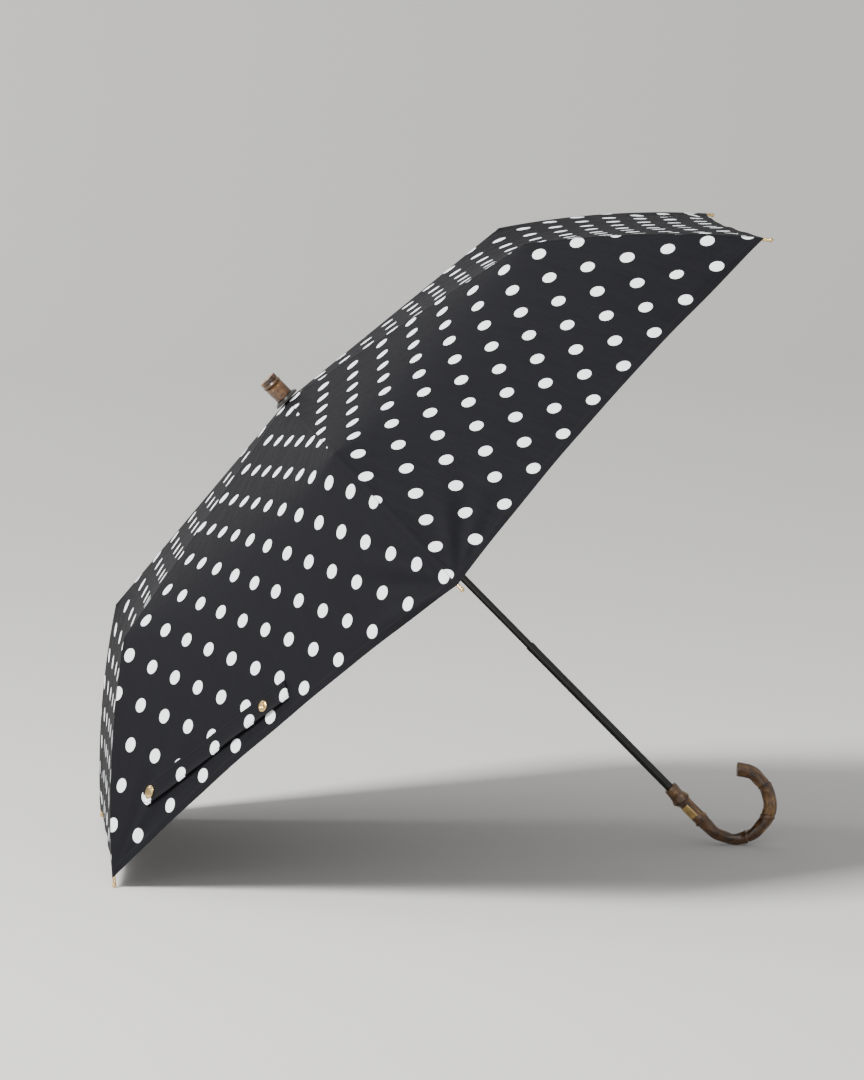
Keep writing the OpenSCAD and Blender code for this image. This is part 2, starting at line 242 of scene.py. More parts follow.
def gridFaces(rows, columns, start=0, wrap=False):
    # quads of a rows x columns grid of vertices, numbered row by row
    across = columns if wrap else columns - 1
    k, j = np.meshgrid(np.arange(rows - 1), np.arange(across), indexing="ij")
    here, below, nextJ = k * columns, (k + 1) * columns, (j + 1) % columns
    quads = np.stack([here + j, here + nextJ, below + nextJ, below + j], -1)
    return (quads.reshape(-1, 4) + start).tolist()


def plug(tree, socket, value):
    # links a socket, or sets a constant on it
    if isinstance(value, bpy.types.NodeSocket):
        tree.links.new(value, socket)
    else:
        socket.default_value = value


def node(tree, kind, inputs=None, **settings):
    made = tree.nodes.new(kind)
    for name, value in settings.items():
        setattr(made, name, value)
    for name, value in (inputs or {}).items():
        plug(tree, made.inputs[name], value)
    return made


def calc(tree, operation, a, b=0.0, c=0.0):
    made = node(tree, "ShaderNodeMath", operation=operation)
    for socket, value in zip(made.inputs, (a, b, c)):
        plug(tree, socket, value)
    return made.outputs[0]


def invert(tree, value):
    return calc(tree, "SUBTRACT", 1.0, value)


def between(tree, value, low, high):
    # 0 below low, 1 above high, smooth between
    made = node(tree, "ShaderNodeMapRange", {"Value": value, "From Min": low, "From Max": high},
                interpolation_type="SMOOTHSTEP")
    return made.outputs["Result"]


def distance(tree, a, b):
    # square root of a squared plus b squared
    squares = calc(tree, "ADD", calc(tree, "POWER", a, 2.0), calc(tree, "POWER", b, 2.0))
    return calc(tree, "SQRT", squares)


def mix(tree, share, a, b):
    made = node(tree, "ShaderNodeMix", data_type="RGBA")
    for place, value in ((0, share), (6, a), (7, b)):     # factor, first and second colour
        plug(tree, made.inputs[place], value)
    return made.outputs[2]


def split(tree, vector):
    return node(tree, "ShaderNodeSeparateXYZ", {"Vector": vector}).outputs


def uvMap(tree, name):
    return node(tree, "ShaderNodeUVMap", uv_map=name).outputs[0]


def objectPlace(tree):
    return node(tree, "ShaderNodeTexCoord").outputs["Object"]


def stretch(tree, vector, scale, rotation=(0.0, 0.0, 0.0)):
    made = node(tree, "ShaderNodeMapping", {"Vector": vector, "Scale": scale, "Rotation": rotation})
    return made.outputs[0]


def noise(tree, vector, scale, detail, roughness=0.5, distortion=0.0):
    made = node(tree, "ShaderNodeTexNoise", {
        "Vector": vector, "Scale": scale, "Detail": detail,
        "Roughness": roughness, "Distortion": distortion})
    return made.outputs[0]


def newGroup(name, inputs, outputs):
    # inputs: name to (socket type, default); outputs: name to socket type
    group = bpy.data.node_groups.new(name, "ShaderNodeTree")
    for label, (kind, default) in inputs.items():
        socket = group.interface.new_socket(name=label, in_out="INPUT", socket_type=kind)
        if default is not None:
            socket.default_value = default
    for label, kind in outputs.items():
        group.interface.new_socket(name=label, in_out="OUTPUT", socket_type=kind)
    given, out = group.nodes.new("NodeGroupInput"), group.nodes.new("NodeGroupOutput")
    return group, given.outputs, out.inputs


def useGroup(tree, group, inputs):
    return node(tree, "ShaderNodeGroup", inputs, node_tree=group).outputs


def newMaterial(name):
    material = bpy.data.materials.new(name)
    material.use_nodes = True
    tree = material.node_tree
    tree.nodes.clear()
    shader = tree.nodes.new("ShaderNodeBsdfPrincipled")
    output = tree.nodes.new("ShaderNodeOutputMaterial")
    tree.links.new(shader.outputs[0], output.inputs["Surface"])
    return material, tree, shader


def addBump(tree, shader, height, strength, reach=1.0):
    bump = node(tree, "ShaderNodeBump", {"Strength": strength, "Distance": reach, "Height": height})
    tree.links.new(bump.outputs[0], shader.inputs["Normal"])


def grey(value):
    return (value, value, value, 1.0)


def shade(colour, factor):
    return tuple(factor * c for c in colour[:3]) + (1.0,)


def makeDotGroup():
    # Staggered rows of round dots; lengths in metres along the two UV directions.
    group, given, out = newGroup("DotPattern", {
        "UV": ("NodeSocketVector", None),
        "Along Spacing": ("NodeSocketFloat", 0.0440),
        "Row Spacing": ("NodeSocketFloat", 0.0251),
        "Diameter": ("NodeSocketFloat", 0.012),
        "Softness": ("NodeSocketFloat", 0.0004),
        "Ragged": ("NodeSocketFloat", 0.0003),
    }, {"Mask": "NodeSocketFloat"})
    parts = split(group, given["UV"])
    halfAlong = calc(group, "MULTIPLY", given["Along Spacing"], 0.5)
    # distance to the nearest dot of the even rows, then of the odd rows
    along = calc(group, "PINGPONG", parts["X"], halfAlong)
    rows = calc(group, "PINGPONG", parts["Y"], given["Row Spacing"])
    even = distance(group, along, rows)
    otherAlong = calc(group, "SUBTRACT", halfAlong, along)
    otherRows = calc(group, "SUBTRACT", given["Row Spacing"], rows)
    nearest = calc(group, "MINIMUM", even, distance(group, otherAlong, otherRows))
    grain = noise(group, given["UV"], 900.0, 2.0)
    wobble = calc(group, "MULTIPLY", calc(group, "SUBTRACT", grain, 0.5), given["Ragged"])
    radius = calc(group, "MULTIPLY", given["Diameter"], 0.5)
    mask = node(group, "ShaderNodeMapRange", {
        "Value": calc(group, "SUBTRACT", radius, calc(group, "ADD", nearest, wobble)),
        "From Min": calc(group, "MULTIPLY", given["Softness"], -0.5),
        "From Max": calc(group, "MULTIPLY", given["Softness"], 0.5)})
    group.links.new(mask.outputs[0], out["Mask"])
    return group


def makeWeaveGroup():
    # Plain weave: warp and weft threads crossing over and under each other.
    group, given, out = newGroup("Weave", {
        "UV": ("NodeSocketVector", None),
        "Thread": ("NodeSocketFloat", 0.00035),
        "Slub": ("NodeSocketFloat", 0.3),
    }, {"Height": "NodeSocketFloat", "Fleck": "NodeSocketFloat"})
    parts = split(group, given["UV"])
    halfTurn = 3.14159      # radians from one thread to the next
    step = calc(group, "DIVIDE", halfTurn, given["Thread"])
    warp = calc(group, "SINE", calc(group, "MULTIPLY", parts["X"], step))
    weft = calc(group, "SINE", calc(group, "MULTIPLY", parts["Y"], step))
    crossing = calc(group, "MULTIPLY", calc(group, "MULTIPLY", warp, weft), 0.5)
    slub = noise(group, stretch(group, given["UV"], (60.0, 1400.0, 1.0)), 1.0, 3.0)
    group.links.new(calc(group, "MULTIPLY_ADD", slub, given["Slub"], crossing), out["Height"])
    group.links.new(slub, out["Fleck"])
    return group


def makeScratchGroup():
    # Fine scratches and rubbed patches for lacquer and metal.
    group, given, out = newGroup("Scratches", {
        "Vector": ("NodeSocketVector", None),
        "Scale": ("NodeSocketFloat", 400.0),
        "Density": ("NodeSocketFloat", 0.5),
    }, {"Lines": "NodeSocketFloat", "Patches": "NodeSocketFloat"})
    drawn = stretch(group, given["Vector"], (1.0, 14.0, 1.0), (0.4, 0.9, 0.3))
    lines = noise(group, drawn, given["Scale"], 4.0, roughness=0.6)
    patches = noise(group, given["Vector"], calc(group, "MULTIPLY", given["Scale"], 0.3), 5.0)
    low = calc(group, "SUBTRACT", 0.72, calc(group, "MULTIPLY", given["Density"], 0.2))
    group.links.new(between(group, lines, low, calc(group, "ADD", low, 0.1)), out["Lines"])
    group.links.new(patches, out["Patches"])
    return group


def makeDustGroup():
    # Pale specks, thickest on faces that look up.
    group, given, out = newGroup("Dust", {
        "Vector": ("NodeSocketVector", None),
        "Amount": ("NodeSocketFloat", 0.2),
    }, {"Mask": "NodeSocketFloat"})
    specks = between(group, noise(group, given["Vector"], 900.0, 2.0), 0.58, 0.72)
    cloud = between(group, noise(group, given["Vector"], 18.0, 3.0), 0.35, 0.7)
    facing = split(group, node(group, "ShaderNodeNewGeometry").outputs["Normal"])
    upward = between(group, facing["Z"], 0.0, 1.0)
    settled = calc(group, "MULTIPLY", calc(group, "MULTIPLY", specks, cloud), upward)
    group.links.new(calc(group, "MULTIPLY", settled, given["Amount"]), out["Mask"])
    return group


dotGroup, weaveGroup = makeDotGroup(), makeWeaveGroup()
scratchGroup, dustGroup = makeScratchGroup(), makeDustGroup()
print("stage: shared effects made")

canopy = {
    "hole": 0.0034,           # radius left open for the shaft
    "bendOut": 0.278,         # distance from the shaft to the bend in each rib
    "bendDrop": 0.035,
    "cornerOut": 0.447,       # distance from the shaft to the fabric's corner
    "cornerDrop": 0.166,
    "bow": 0.006,             # how far the outer ribs bow outwards
    "halfAngle": 30.0,        # degrees from mid-gore to the rib
    "rows": 140,
    "columns": 34,
    "crossPull": 4.0,         # tension across a gore, against one along it
    "hemPull": 2.0,           # tension of the hem
    "sweeps": 1800,           # rounds of relaxing
    "overshoot": 1.9,
    "thickness": 0.00035,
    "wrinkle": 0.0011,
    "fanFolds": (11, 17, 26),       # folds per radian about the rib's end
    "hemFolds": (25, 43, 70),       # radians per metre along the hem
    "firstSeed": 40,
    "rowCurve": 0.22,         # how the straight grain crosses the curved rows, per metre
    "curveFrom": 0.06,        # height above the hem where that is full
    "seamLean": 23.0,         # degrees between a row and the square across the seam
}
fabricLook = {
    "black": (0.0062, 0.0062, 0.0078, 1.0),
    "blackUnder": (0.0056, 0.0056, 0.0065, 1.0),
    "white": (0.90, 0.92, 0.95, 1.0),
    "whiteUnder": (0.30, 0.31, 0.34, 1.0),
    "roughness": 0.62,
    "sheen": 0.006,
    "sheenRoughness": 0.4,
    "specular": 0.07,
    "dust": 0.015,
    "stitches": 2094.0,       # radians per metre along the hem
}
gorePhase = {
    # where one dot stands: across the gore's centre line, and above the hem
    0: (0.001, 0.0130), 1: (-0.012, 0.0135), 2: (0.015, 0.0125),
    3: (-0.004, 0.0130), 4: (0.010, 0.0130), 5: (-0.006, 0.0130),
}
fullTurn = 6.28     # radians, for random phases


def ribLine(length):
    # The fabric along a rib, as distance out and height: straight to the bend, then
    # straight span + bow * 4 s (1 - s), s running 0 to 1 from the bend to the corner.
    bend = np.array([canopy["bendOut"], -canopy["bendDrop"]])
    span = np.array([canopy["cornerOut"], -canopy["cornerDrop"]]) - bend
    inner, outer = np.linalg.norm(bend), np.linalg.norm(span)
    outward = np.array([-span[1], span[0]]) / outer
    s = np.clip((length - inner) / outer, 0, 1)[:, None]
    bowed = bend + span * s + outward * canopy["bow"] * 4 * s * (1 - s)
    return np.where(length[:, None] <= inner, bend * length[:, None] / inner, bowed)


def stretchGore():
    # Half a gore as a grid: rows from crown to hem, columns from mid-gore to rib.
    # Each free point comes to rest where the pull of its four neighbours balances:
    # sum of q * (neighbour - point) = 0, with q = tension * strip width / length.
    inner = np.hypot(canopy["bendOut"], canopy["bendDrop"])
    outer = np.hypot(canopy["cornerOut"] - canopy["bendOut"], canopy["cornerDrop"] - canopy["bendDrop"])
    rows, columns = canopy["rows"], canopy["columns"]
    elbowRow = int(round(rows * 0.5 * inner / (inner + outer)))
    length = np.concatenate([
        np.linspace(canopy["hole"], inner, 2 * elbowRow + 1),
        np.linspace(inner, inner + outer, rows - 2 * elbowRow + 1)[1:]])
    rib = ribLine(length)
    halfAngle = radians(canopy["halfAngle"])
    held = np.zeros((rows + 1, columns + 1, 3))
    held[:, :, 0] = (rib[:, 0] * cos(halfAngle))[:, None]
    held[:, :, 1] = (rib[:, 0] * sin(halfAngle))[:, None] * np.linspace(0, 1, columns + 1)
    held[:, :, 2] = rib[:, 1][:, None]
    points = held.copy()
    stepAcross = rib[:, 0] * sin(halfAngle) / columns
    stepAlong = np.gradient(length)
    pullAcross = canopy["crossPull"] * stepAlong / stepAcross
    pullAcross[-1] = (canopy["crossPull"] * stepAlong[-1] / 2 + canopy["hemPull"]) / stepAcross[-1]
    pullAlong = (stepAcross[1:] + stepAcross[:-1]) / 2 / np.diff(length)
    checker = np.add.outer(np.arange(rows + 1), np.arange(columns + 1)) % 2
    q, w = pullAcross[:, None, None], pullAlong[:, None, None]
    weight = 2 * q * np.ones((1, columns + 1, 1))
    weight[1:] += w
    weight[:-1] += w
    for sweep in range(canopy["sweeps"]):
        for colour in (0, 1):
            towardMid = np.concatenate([points[:, 1:2] * (1, -1, 1), points[:, :-1]], 1)
            towardRib = np.concatenate([points[:, 1:], points[:, -1:]], 1)
            pull = q * (towardMid + towardRib)
            pull[1:] += w * points[:-1]
            pull[:-1] += w * points[1:]
            moved = points + canopy["overshoot"] * (pull / weight - points)
            moved[:, 0, 1] = 0
            moved[0], moved[:, -1] = held[0], held[:, -1]
            points = np.where((checker == colour)[:, :, None], moved, points)
    return points, elbowRow


def ruffleGore(points, seed):
    # Soft folds that fan out of the rib's lower end, and a slow waver along the hem:
    # height = wrinkle * sum of sines of the angle about the corner, faded at rib and crown.
    rng = np.random.default_rng(seed)
    fromCorner = points - points[-1, -1]
    away = np.linalg.norm(fromCorner, axis=2)
    angle = np.arctan2(fromCorner[:, :, 0], -fromCorner[:, :, 1] + 1e-6)
    near = np.exp(-((away - 0.05) / 0.06) ** 2) * np.clip(away / 0.03, 0, 1)
    fan = sum(rng.uniform(0.5, 1) * np.sin(angle * n + rng.uniform(0, fullTurn))
              for n in canopy["fanFolds"])
    rowShare = np.linspace(0, 1, points.shape[0])[:, None]
    ribFade = 1 - np.linspace(0, 1, points.shape[1])[None, :] ** 6
    waver = sum(rng.uniform(0.3, 1) * np.sin(points[:, :, 1] * n + rng.uniform(0, fullTurn))
                for n in canopy["hemFolds"])
    return canopy["wrinkle"] * ribFade * (0.8 * near * fan + 0.35 * waver * rowShare ** 3)


def surfaceNormals(points):
    # cross product of the grid's two directions
    normal = np.cross(np.gradient(points, axis=0), np.gradient(points, axis=1))
    return normal / np.linalg.norm(normal, axis=2, keepdims=True)


def clothPiece(name, top, normals, uvs, thickness):
    # A closed sheet: the top grid, the same grid pushed in by the thickness, and a rim.
    rows, columns = top.shape[:2]
    count = rows * columns
    under = top - normals * thickness
    vertices = np.concatenate([top.reshape(-1, 3), under.reshape(-1, 3)])
    above = gridFaces(rows, columns)
    below = [f[::-1] for f in gridFaces(rows, columns, count)]
    index = np.arange(count).reshape(rows, columns)
    loop = np.concatenate([index[0, :-1], index[:-1, -1], index[-1, :0:-1], index[:0:-1, 0]])
    after = np.roll(loop, -1)
    rim = np.stack([after, loop, loop + count, after + count], 1).tolist()
    a, b, c = (vertices[above[0][n]] for n in (0, 1, 2))
    faces = above + below + rim
    if np.dot(np.cross(b - a, c - b), normals[0, 0]) < 0:
        faces = [f[::-1] for f in faces]
    doubled = {n: np.concatenate([v.reshape(-1, 2)] * 2) for n, v in uvs.items()}
    made = addObject(name, vertices, faces, doubled)
    # normals from the whole gore, so that neighbouring pieces shade as one cloth
    flat = normals.reshape(-1, 3)
    corners = np.empty(len(made.data.loops), np.int32)
    made.data.loops.foreach_get("vertex_index", corners)
    loopNormals = np.concatenate([flat, -flat])[corners]
    rimStart = len(above) + len(below)
    for polygon in made.data.polygons[rimStart:]:
        polygon.use_smooth = False
    faceNormals = np.empty((len(made.data.polygons), 3), np.float32)
    made.data.polygons.foreach_get("normal", faceNormals.ravel())
    loopNormals[4 * rimStart:] = np.repeat(faceNormals[rimStart:], 4, axis=0)
    made.data.normals_split_custom_set(loopNormals.tolist())
    return made


def makeFabricMaterial(name, hemStitch, seamWidth):
    # hemStitch: distance of the stitch line from the edge; seamWidth: half the doubled seam
    material, tree, shader = newMaterial(name)
    pattern = uvMap(tree, "pattern")
    edges = split(tree, uvMap(tree, "edges"))
    fromRib, fromHem = edges["X"], edges["Y"]
    dots = useGroup(tree, dotGroup, {"UV": pattern})["Mask"]
    weave = useGroup(tree, weaveGroup, {"UV": pattern})
    dustInputs = {"Vector": objectPlace(tree), "Amount": fabricLook["dust"]}
    dust = useGroup(tree, dustGroup, dustInputs)["Mask"]
    # the sheet is closed, so its inner side is told by the UV map "side"
    inner = split(tree, uvMap(tree, "side"))["X"]
    fleck = between(tree, weave["Fleck"], 0.2, 0.8)
    black, under, ink = (
        mix(tree, fleck, fabricLook[colour], shade(fabricLook[colour], factor))
        for colour, factor in (("black", 1.25), ("blackUnder", 1.3), ("white", 0.93)))
    outside = mix(tree, dots, black, ink)
    inside = mix(tree, dots, under, fabricLook["whiteUnder"])
    colour = mix(tree, inner, outside, inside)
    # the hem is turned in and stitched; the seam at the rib is doubled
    hemLine = calc(tree, "ABSOLUTE", calc(tree, "SUBTRACT", fromHem, hemStitch))
    along = calc(tree, "MULTIPLY", split(tree, pattern)["X"], fabricLook["stitches"])
    stitch = between(tree, calc(tree, "SINE", along), -0.6, -0.2)
    thread = calc(tree, "MULTIPLY", invert(tree, between(tree, hemLine, 0.0001, 0.0006)), stitch)
    hemFold = invert(tree, between(tree, fromHem, hemStitch + 0.0008, hemStitch + 0.0016))
    seamWelt = invert(tree, between(tree, fromRib, seamWidth, seamWidth * 1.4 + 0.0001))
    seamLine = invert(tree, between(tree, fromRib, seamWidth * 0.02, seamWidth * 0.2))
    threadColour = mix(tree, thread, colour, grey(0.012))
    seamed = mix(tree, calc(tree, "MULTIPLY", seamLine, 0.45), threadColour, grey(0.008))
    plug(tree, shader.inputs["Base Color"], mix(tree, dust, seamed, grey(0.35)))
    pucker = noise(tree, stretch(tree, pattern, (55.0, 14.0, 1.0)), 1.0, 3.0)
    height = calc(tree, "MULTIPLY", weave["Height"], 0.00003)
    for mask, metres in ((hemFold, 0.00025), (seamWelt, 0.00020), (seamLine, -0.0004),
                         (thread, -0.00015), (pucker, 0.0016)):
        height = calc(tree, "MULTIPLY_ADD", mask, metres, height)
    addBump(tree, shader, height, 1.0)
    rough = calc(tree, "MULTIPLY_ADD", fleck, 0.10, fabricLook["roughness"])
    plug(tree, shader.inputs["Roughness"], calc(tree, "MULTIPLY_ADD", dots, -0.05, rough))
    shader.inputs["Sheen Weight"].default_value = fabricLook["sheen"]
    shader.inputs["Sheen Roughness"].default_value = fabricLook["sheenRoughness"]
    shader.inputs["Specular IOR Level"].default_value = fabricLook["specular"]
    return material


goreHalf, elbowRow = stretchGore()
creaseRow = 2 * elbowRow
print("stage: gore stretched,", goreHalf.shape)


def mirrored(grid):
    # the same points on the other side of mid-gore
    return grid * (1, -1, 1)


def facingUp(normals):
    return -normals if normals[elbowRow, 3, 2] < 0 else normals


# lengths on the cloth: up from the hem along mid-gore, and out from mid-gore along a row
midSteps = np.linalg.norm(np.diff(goreHalf[:, 0], axis=0), axis=1)
fromCrown = np.concatenate([[0], np.cumsum(midSteps)])
aboveHem = (midSteps.sum() - fromCrown)[:, None] * np.ones(goreHalf.shape[:2])
acrossSteps = np.linalg.norm(np.diff(goreHalf, axis=1), axis=2)
fromMid = np.concatenate([np.zeros((goreHalf.shape[0], 1)), np.cumsum(acrossSteps, axis=1)], axis=1)
fromRib = (fromMid[:, -1:] - fromMid) * cos(radians(canopy["seamLean"]))
toHem = np.linalg.norm(goreHalf - goreHalf[-1:], axis=2)
edgeLengths = np.stack([fromRib, toHem], -1)
plainNormals = facingUp(surfaceNormals(np.concatenate([mirrored(goreHalf[:, 1:2]), goreHalf], 1))[:, 1:])

canopyZones = {
    # zone: first row, last row, body, share of its width kept when folded, rod room
    "top": (0, elbowRow, "inner_rib_%d", 0.06, 0.003),
    "middle": (elbowRow, creaseRow, "middle_rib_%d", 0.06, 0.003),
    "lower": (creaseRow, canopy["rows"], "outer_rib_%d", 0.06, 0.0),
}
fabricMaterial = makeFabricMaterial("blackFabric", 0.0070, 0.0035)


def placeInGore(points, gore, side):
    # gore frame to umbrella frame: side 1 lies towards the gore's next rib
    a = radians(-60 + 60 * gore)
    out = np.array([cos(a), sin(a), 0.0])
    across = side * np.array([-sin(a), cos(a), 0.0])
    up = np.array([0.0, 0.0, 1.0])
    return points[..., :1] * out + points[..., 1:2] * across + points[..., 2:] * up


def shapeHalf(gore, side):
    # One column of the other half is added beyond mid-gore, so that the normals of both
    # halves agree where they meet.
    seed = canopy["firstSeed"] + gore
    lift = ruffleGore(goreHalf * (1, side, 1), seed)
    otherLift = ruffleGore(goreHalf * (1, -side, 1), seed)
    shaped = goreHalf + plainNormals * lift[:, :, None]
    beyond = mirrored(goreHalf[:, 1:2]) + mirrored(plainNormals[:, 1:2]) * otherLift[:, 1:2, None]
    normals = facingUp(surfaceNormals(np.concatenate([beyond, shaped], 1))[:, 1:])
    return placeInGore(shaped, gore, side), placeInGore(normals, gore, side)


def dotPattern(gore, side):
    startAcross, startUp = gorePhase[gore]
    bent = canopy["rowCurve"] * np.clip(aboveHem / canopy["curveFrom"], 0, 1) * fromMid ** 2
    return np.stack([side * fromMid - startAcross, aboveHem - startUp + bent], -1)


shapedGores, clothPieces = {}, {}
for gore in range(6):
    for side in (1, -1):
        rib = (gore + (side + 1) // 2) % 6
        shapedGores[gore, side] = shapeHalf(gore, side)
        top = toRow(shapedGores[gore, side][0])
        facing = turnToRow(shapedGores[gore, side][1])
        pattern = dotPattern(gore, side)
        for zone, (first, last, body, kept, room) in canopyZones.items():
            rows = slice(first, last + 1)
            name = "canopy_%s_%d_%s" % (zone, rib, "left" if side == 1 else "right")
            maps = {"pattern": pattern[rows], "edges": edgeLengths[rows]}
            piece = clothPiece(name, top[rows], facing[rows], maps, canopy["thickness"])
            vertexCount = len(piece.data.vertices)
            isUnder = np.arange(vertexCount) >= vertexCount // 2
            addUv(piece.data, "side", np.stack([isUnder, isUnder], 1))
            piece.data.materials.append(fabricMaterial)
            part = top[rows]
            ribDir = part[-1, -1] - part[0, -1]
            ribDir /= np.linalg.norm(ribDir)
            inward = part[len(part) // 2, 0] - part[len(part) // 2, -1]
            inward -= ribDir * (inward @ ribDir)
            inward /= np.linalg.norm(inward)
            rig.ride(piece, body % rib)
            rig.squash(piece, "canopy_fold", axis=tuple(inward),
                      anchor=tuple(part[len(part) // 2, -1] + room * inward), keep=kept)
            wide = fromMid[last, -1]
            long = aboveHem[first, 0] - aboveHem[last, 0]
            strips = (fromMid[first:last, -1] + fromMid[first + 1:last + 1, -1]) / 2 * midSteps[first:last]
            flatArea = np.sum(strips)
            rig.sheet(piece, flat=(float(wide), float(long)), held="stretched", area=float(flatArea))
            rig.slot(piece, "black_fabric")
            clothPieces[name] = piece
for rib in range(6):
    for zone, nodeName in (("top", "canopy_inner_%d"), ("lower", "canopy_outer_%d")):
        for hand in ("left", "right"):
            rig.replaces(clothPieces["canopy_%s_%d_%s" % (zone, rib, hand)], nodeName % rib)
    for hand in ("left", "right"):
        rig.replaces(clothPieces["canopy_middle_%d_%s" % (rib, hand)], "canopy_inner_%d" % rib)
print("stage: canopy made,", len(clothPieces), "pieces")

strap = {
    "gore": 5,
    "snap": (-0.1533, 0.0334),      # across the gore and above the hem
    "ring": (-0.0091, 0.0252),
    "pastSnap": 0.0085,
    "pastRing": 0.030,
    "width": 0.017,
    "flatLength": 0.1846,
    "thickness": 0.0009,
    "clearance": 0.0006,            # above the canopy
    "lift": 0.0007,
    "edgeLift": 0.0010,
    "dotsFromMiddle": 0.0042,
    "dotBeforeRing": 0.018,
    "rows": 150,
    "columns": 19,
}


def onGore(gore, across, above):
    # place and outward direction on the cloth at given lengths on it
    shape = across.shape
    row = np.interp(-above.ravel(), -aboveHem[:, 0], np.arange(len(aboveHem)))
    halfWidth = np.interp(row, np.arange(len(aboveHem)), fromMid[:, -1])
    column = np.abs(across.ravel()) / halfWidth * canopy["columns"]
    k = np.clip(row.astype(int), 0, len(aboveHem) - 2)
    j = np.clip(column.astype(int), 0, canopy["columns"] - 1)
    rowPart, columnPart = (row - k)[:, None], (column - j)[:, None]
    onPlus = (across.ravel() >= 0)[:, None]
    results = []
    for plus, minus in zip(shapedGores[gore, 1], shapedGores[gore, -1]):
        picked = [np.where(onPlus, plus[k + dk, j + dj], minus[k + dk, j + dj])
                  for dk, dj in ((0, 0), (0, 1), (1, 0), (1, 1))]
        value = (picked[0] * (1 - rowPart) * (1 - columnPart) + picked[1] * (1 - rowPart) * columnPart
                 + picked[2] * rowPart * (1 - columnPart) + picked[3] * rowPart * columnPart)
        results.append(value.reshape(shape + (3,)))
    normal = results[1] / np.linalg.norm(results[1], axis=-1, keepdims=True)
    return results[0], normal


def makeStrap():
    # along: lengths from the snap towards the sewn end; the end by the snap is chamfered
    snap, ring = np.array(strap["snap"]), np.array(strap["ring"])
    reach = np.linalg.norm(ring - snap)
    direction = (ring - snap) / reach
    side = np.array([direction[1], -direction[0]])      # towards the hem
    along = np.linspace(-strap["pastSnap"], reach + strap["pastRing"], strap["rows"])
    fromEnd = along + strap["pastSnap"]
    share = np.linspace(-1, 1, strap["columns"])
    half = strap["width"] / 2 * np.clip(0.45 + fromEnd / 0.0045, 0, 1) ** 0.5
    offset = share[None, :] * half[:, None]
    flat = snap + along[:, None, None] * direction + offset[:, :, None] * side
    base, normal = onGore(strap["gore"], flat[..., 0], flat[..., 1])
    # the strap rises in slow waves between its ends, most along its lower edge
    wave = (0.5 + 0.5 * np.sin(along * 95 + 0.7) * np.sin(along * 31 + 2.0))[:, None]
    endFade = (np.sin(np.pi * np.clip(fromEnd / 0.2, 0, 1))[:, None]) ** 0.5
    edgeLift = strap["edgeLift"] * np.clip(share, 0, 1)[None, :] ** 2 * (0.4 + wave)
    height = strap["clearance"] + strap["thickness"] + strap["lift"] * wave * endFade + edgeLift
    top = toRow(base + normal * height[:, :, None])
    edge = (half[:, None] - np.abs(offset))
    alongDots = along[:, None] - reach + strap["dotBeforeRing"] + 0 * offset
    edges = np.stack([np.full_like(edge, 0.05), edge], -1)
    maps = {"pattern": np.stack([alongDots, offset - strap["dotsFromMiddle"]], -1),
            "edges": edges, "side": np.zeros_like(edges)}
    normals = surfaceNormals(top)
    if (normals * turnToRow(normal)).sum() < 0:
        normals = -normals
    piece = clothPiece("closing_strap", top, normals, maps, strap["thickness"])
    piece.data.materials.append(makeFabricMaterial("strapFabric", 0.0016, 0.0001))
    spots = []
    for place in (snap, ring):
        nearest = np.argmin(np.linalg.norm(flat - place, axis=-1).ravel())
        spots.append((top.reshape(-1, 3)[nearest], normals.reshape(-1, 3)[nearest]))
    return piece, spots


def followStrap(piece, nodeName, slotName):
    # the strap lies flat against rib 5 when the canopy folds
    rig.ride(piece, "outer_rib_5")
    source = clothPieces["canopy_lower_5_right"]["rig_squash"]
    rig.squash(piece, "canopy_fold", axis=tuple(source["axis"]),
              anchor=tuple(source["anchor"]), keep=source["keep"])
    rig.replaces(piece, nodeName)
    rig.slot(piece, slotName)


strapPiece, (capSpot, ringSpot) = makeStrap()
followStrap(strapPiece, "strap", "black_fabric")
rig.sheet(strapPiece, flat=(strap["width"], strap["flatLength"]), held="laid",
         rests_on=("canopy_lower_5_right", "canopy_lower_0_left"))

snaps = {
    "brass": (0.80, 0.565, 0.24, 1.0),
    "tarnish": (0.55, 0.385, 0.155, 1.0),
    "segments": 48,
    "capRadius": 0.0059,
    "ringRadius": 0.0050,
    # profiles from the middle of the top to the middle of the back: share of radius, height
    "cap": [(0, 0.00165), (0.25, 0.0016), (0.5, 0.00145), (0.68, 0.0012), (0.76, 0.00085),
            (0.84, 0.00085), (0.95, 0.0010), (1, 0.0007), (1, 0.0), (0.9, -0.0002), (0, -0.0002)],
    "ring": [(0, 0.0002), (0.30, 0.0002), (0.36, 0.0009), (0.5, 0.0013), (0.72, 0.0014),
             (0.92, 0.0010), (1, 0.0004), (1, -0.0001), (0.9, -0.0002), (0, -0.0002)],
}


def makeSnap(name, profile, radius, place, axis):
    # a ring (r cos a, r sin a, h) for each step of the profile; its ends are on the axis
    segments = snaps["segments"]
    axis = np.asarray(axis, float) / np.linalg.norm(axis)
    sideways = np.cross(axis, (0.3, 0.9, 0.2))
    sideways /= np.linalg.norm(sideways)
    other = np.cross(axis, sideways)
    angles = np.linspace(0, 2 * np.pi, segments, endpoint=False)[None, :, None]
    steps = np.array([(radius * share, height) for share, height in profile], float)
    rings = steps[:, :1, None] * (np.cos(angles) * sideways + np.sin(angles) * other)
    points = np.asarray(place) + rings + steps[:, 1][:, None, None] * axis
    inner = points[1:-1].reshape(-1, 3)
    vertices = np.concatenate([inner, points[:1, 0], points[-1:, 0]])
    first, last = len(inner), len(inner) + 1
    base = len(inner) - segments
    faces = gridFaces(len(profile) - 2, segments, wrap=True)
    faces += [[first, (j + 1) % segments, j] for j in range(segments)]
    faces += [[last, base + j, base + (j + 1) % segments] for j in range(segments)]
    return addObject(name, vertices, faces)


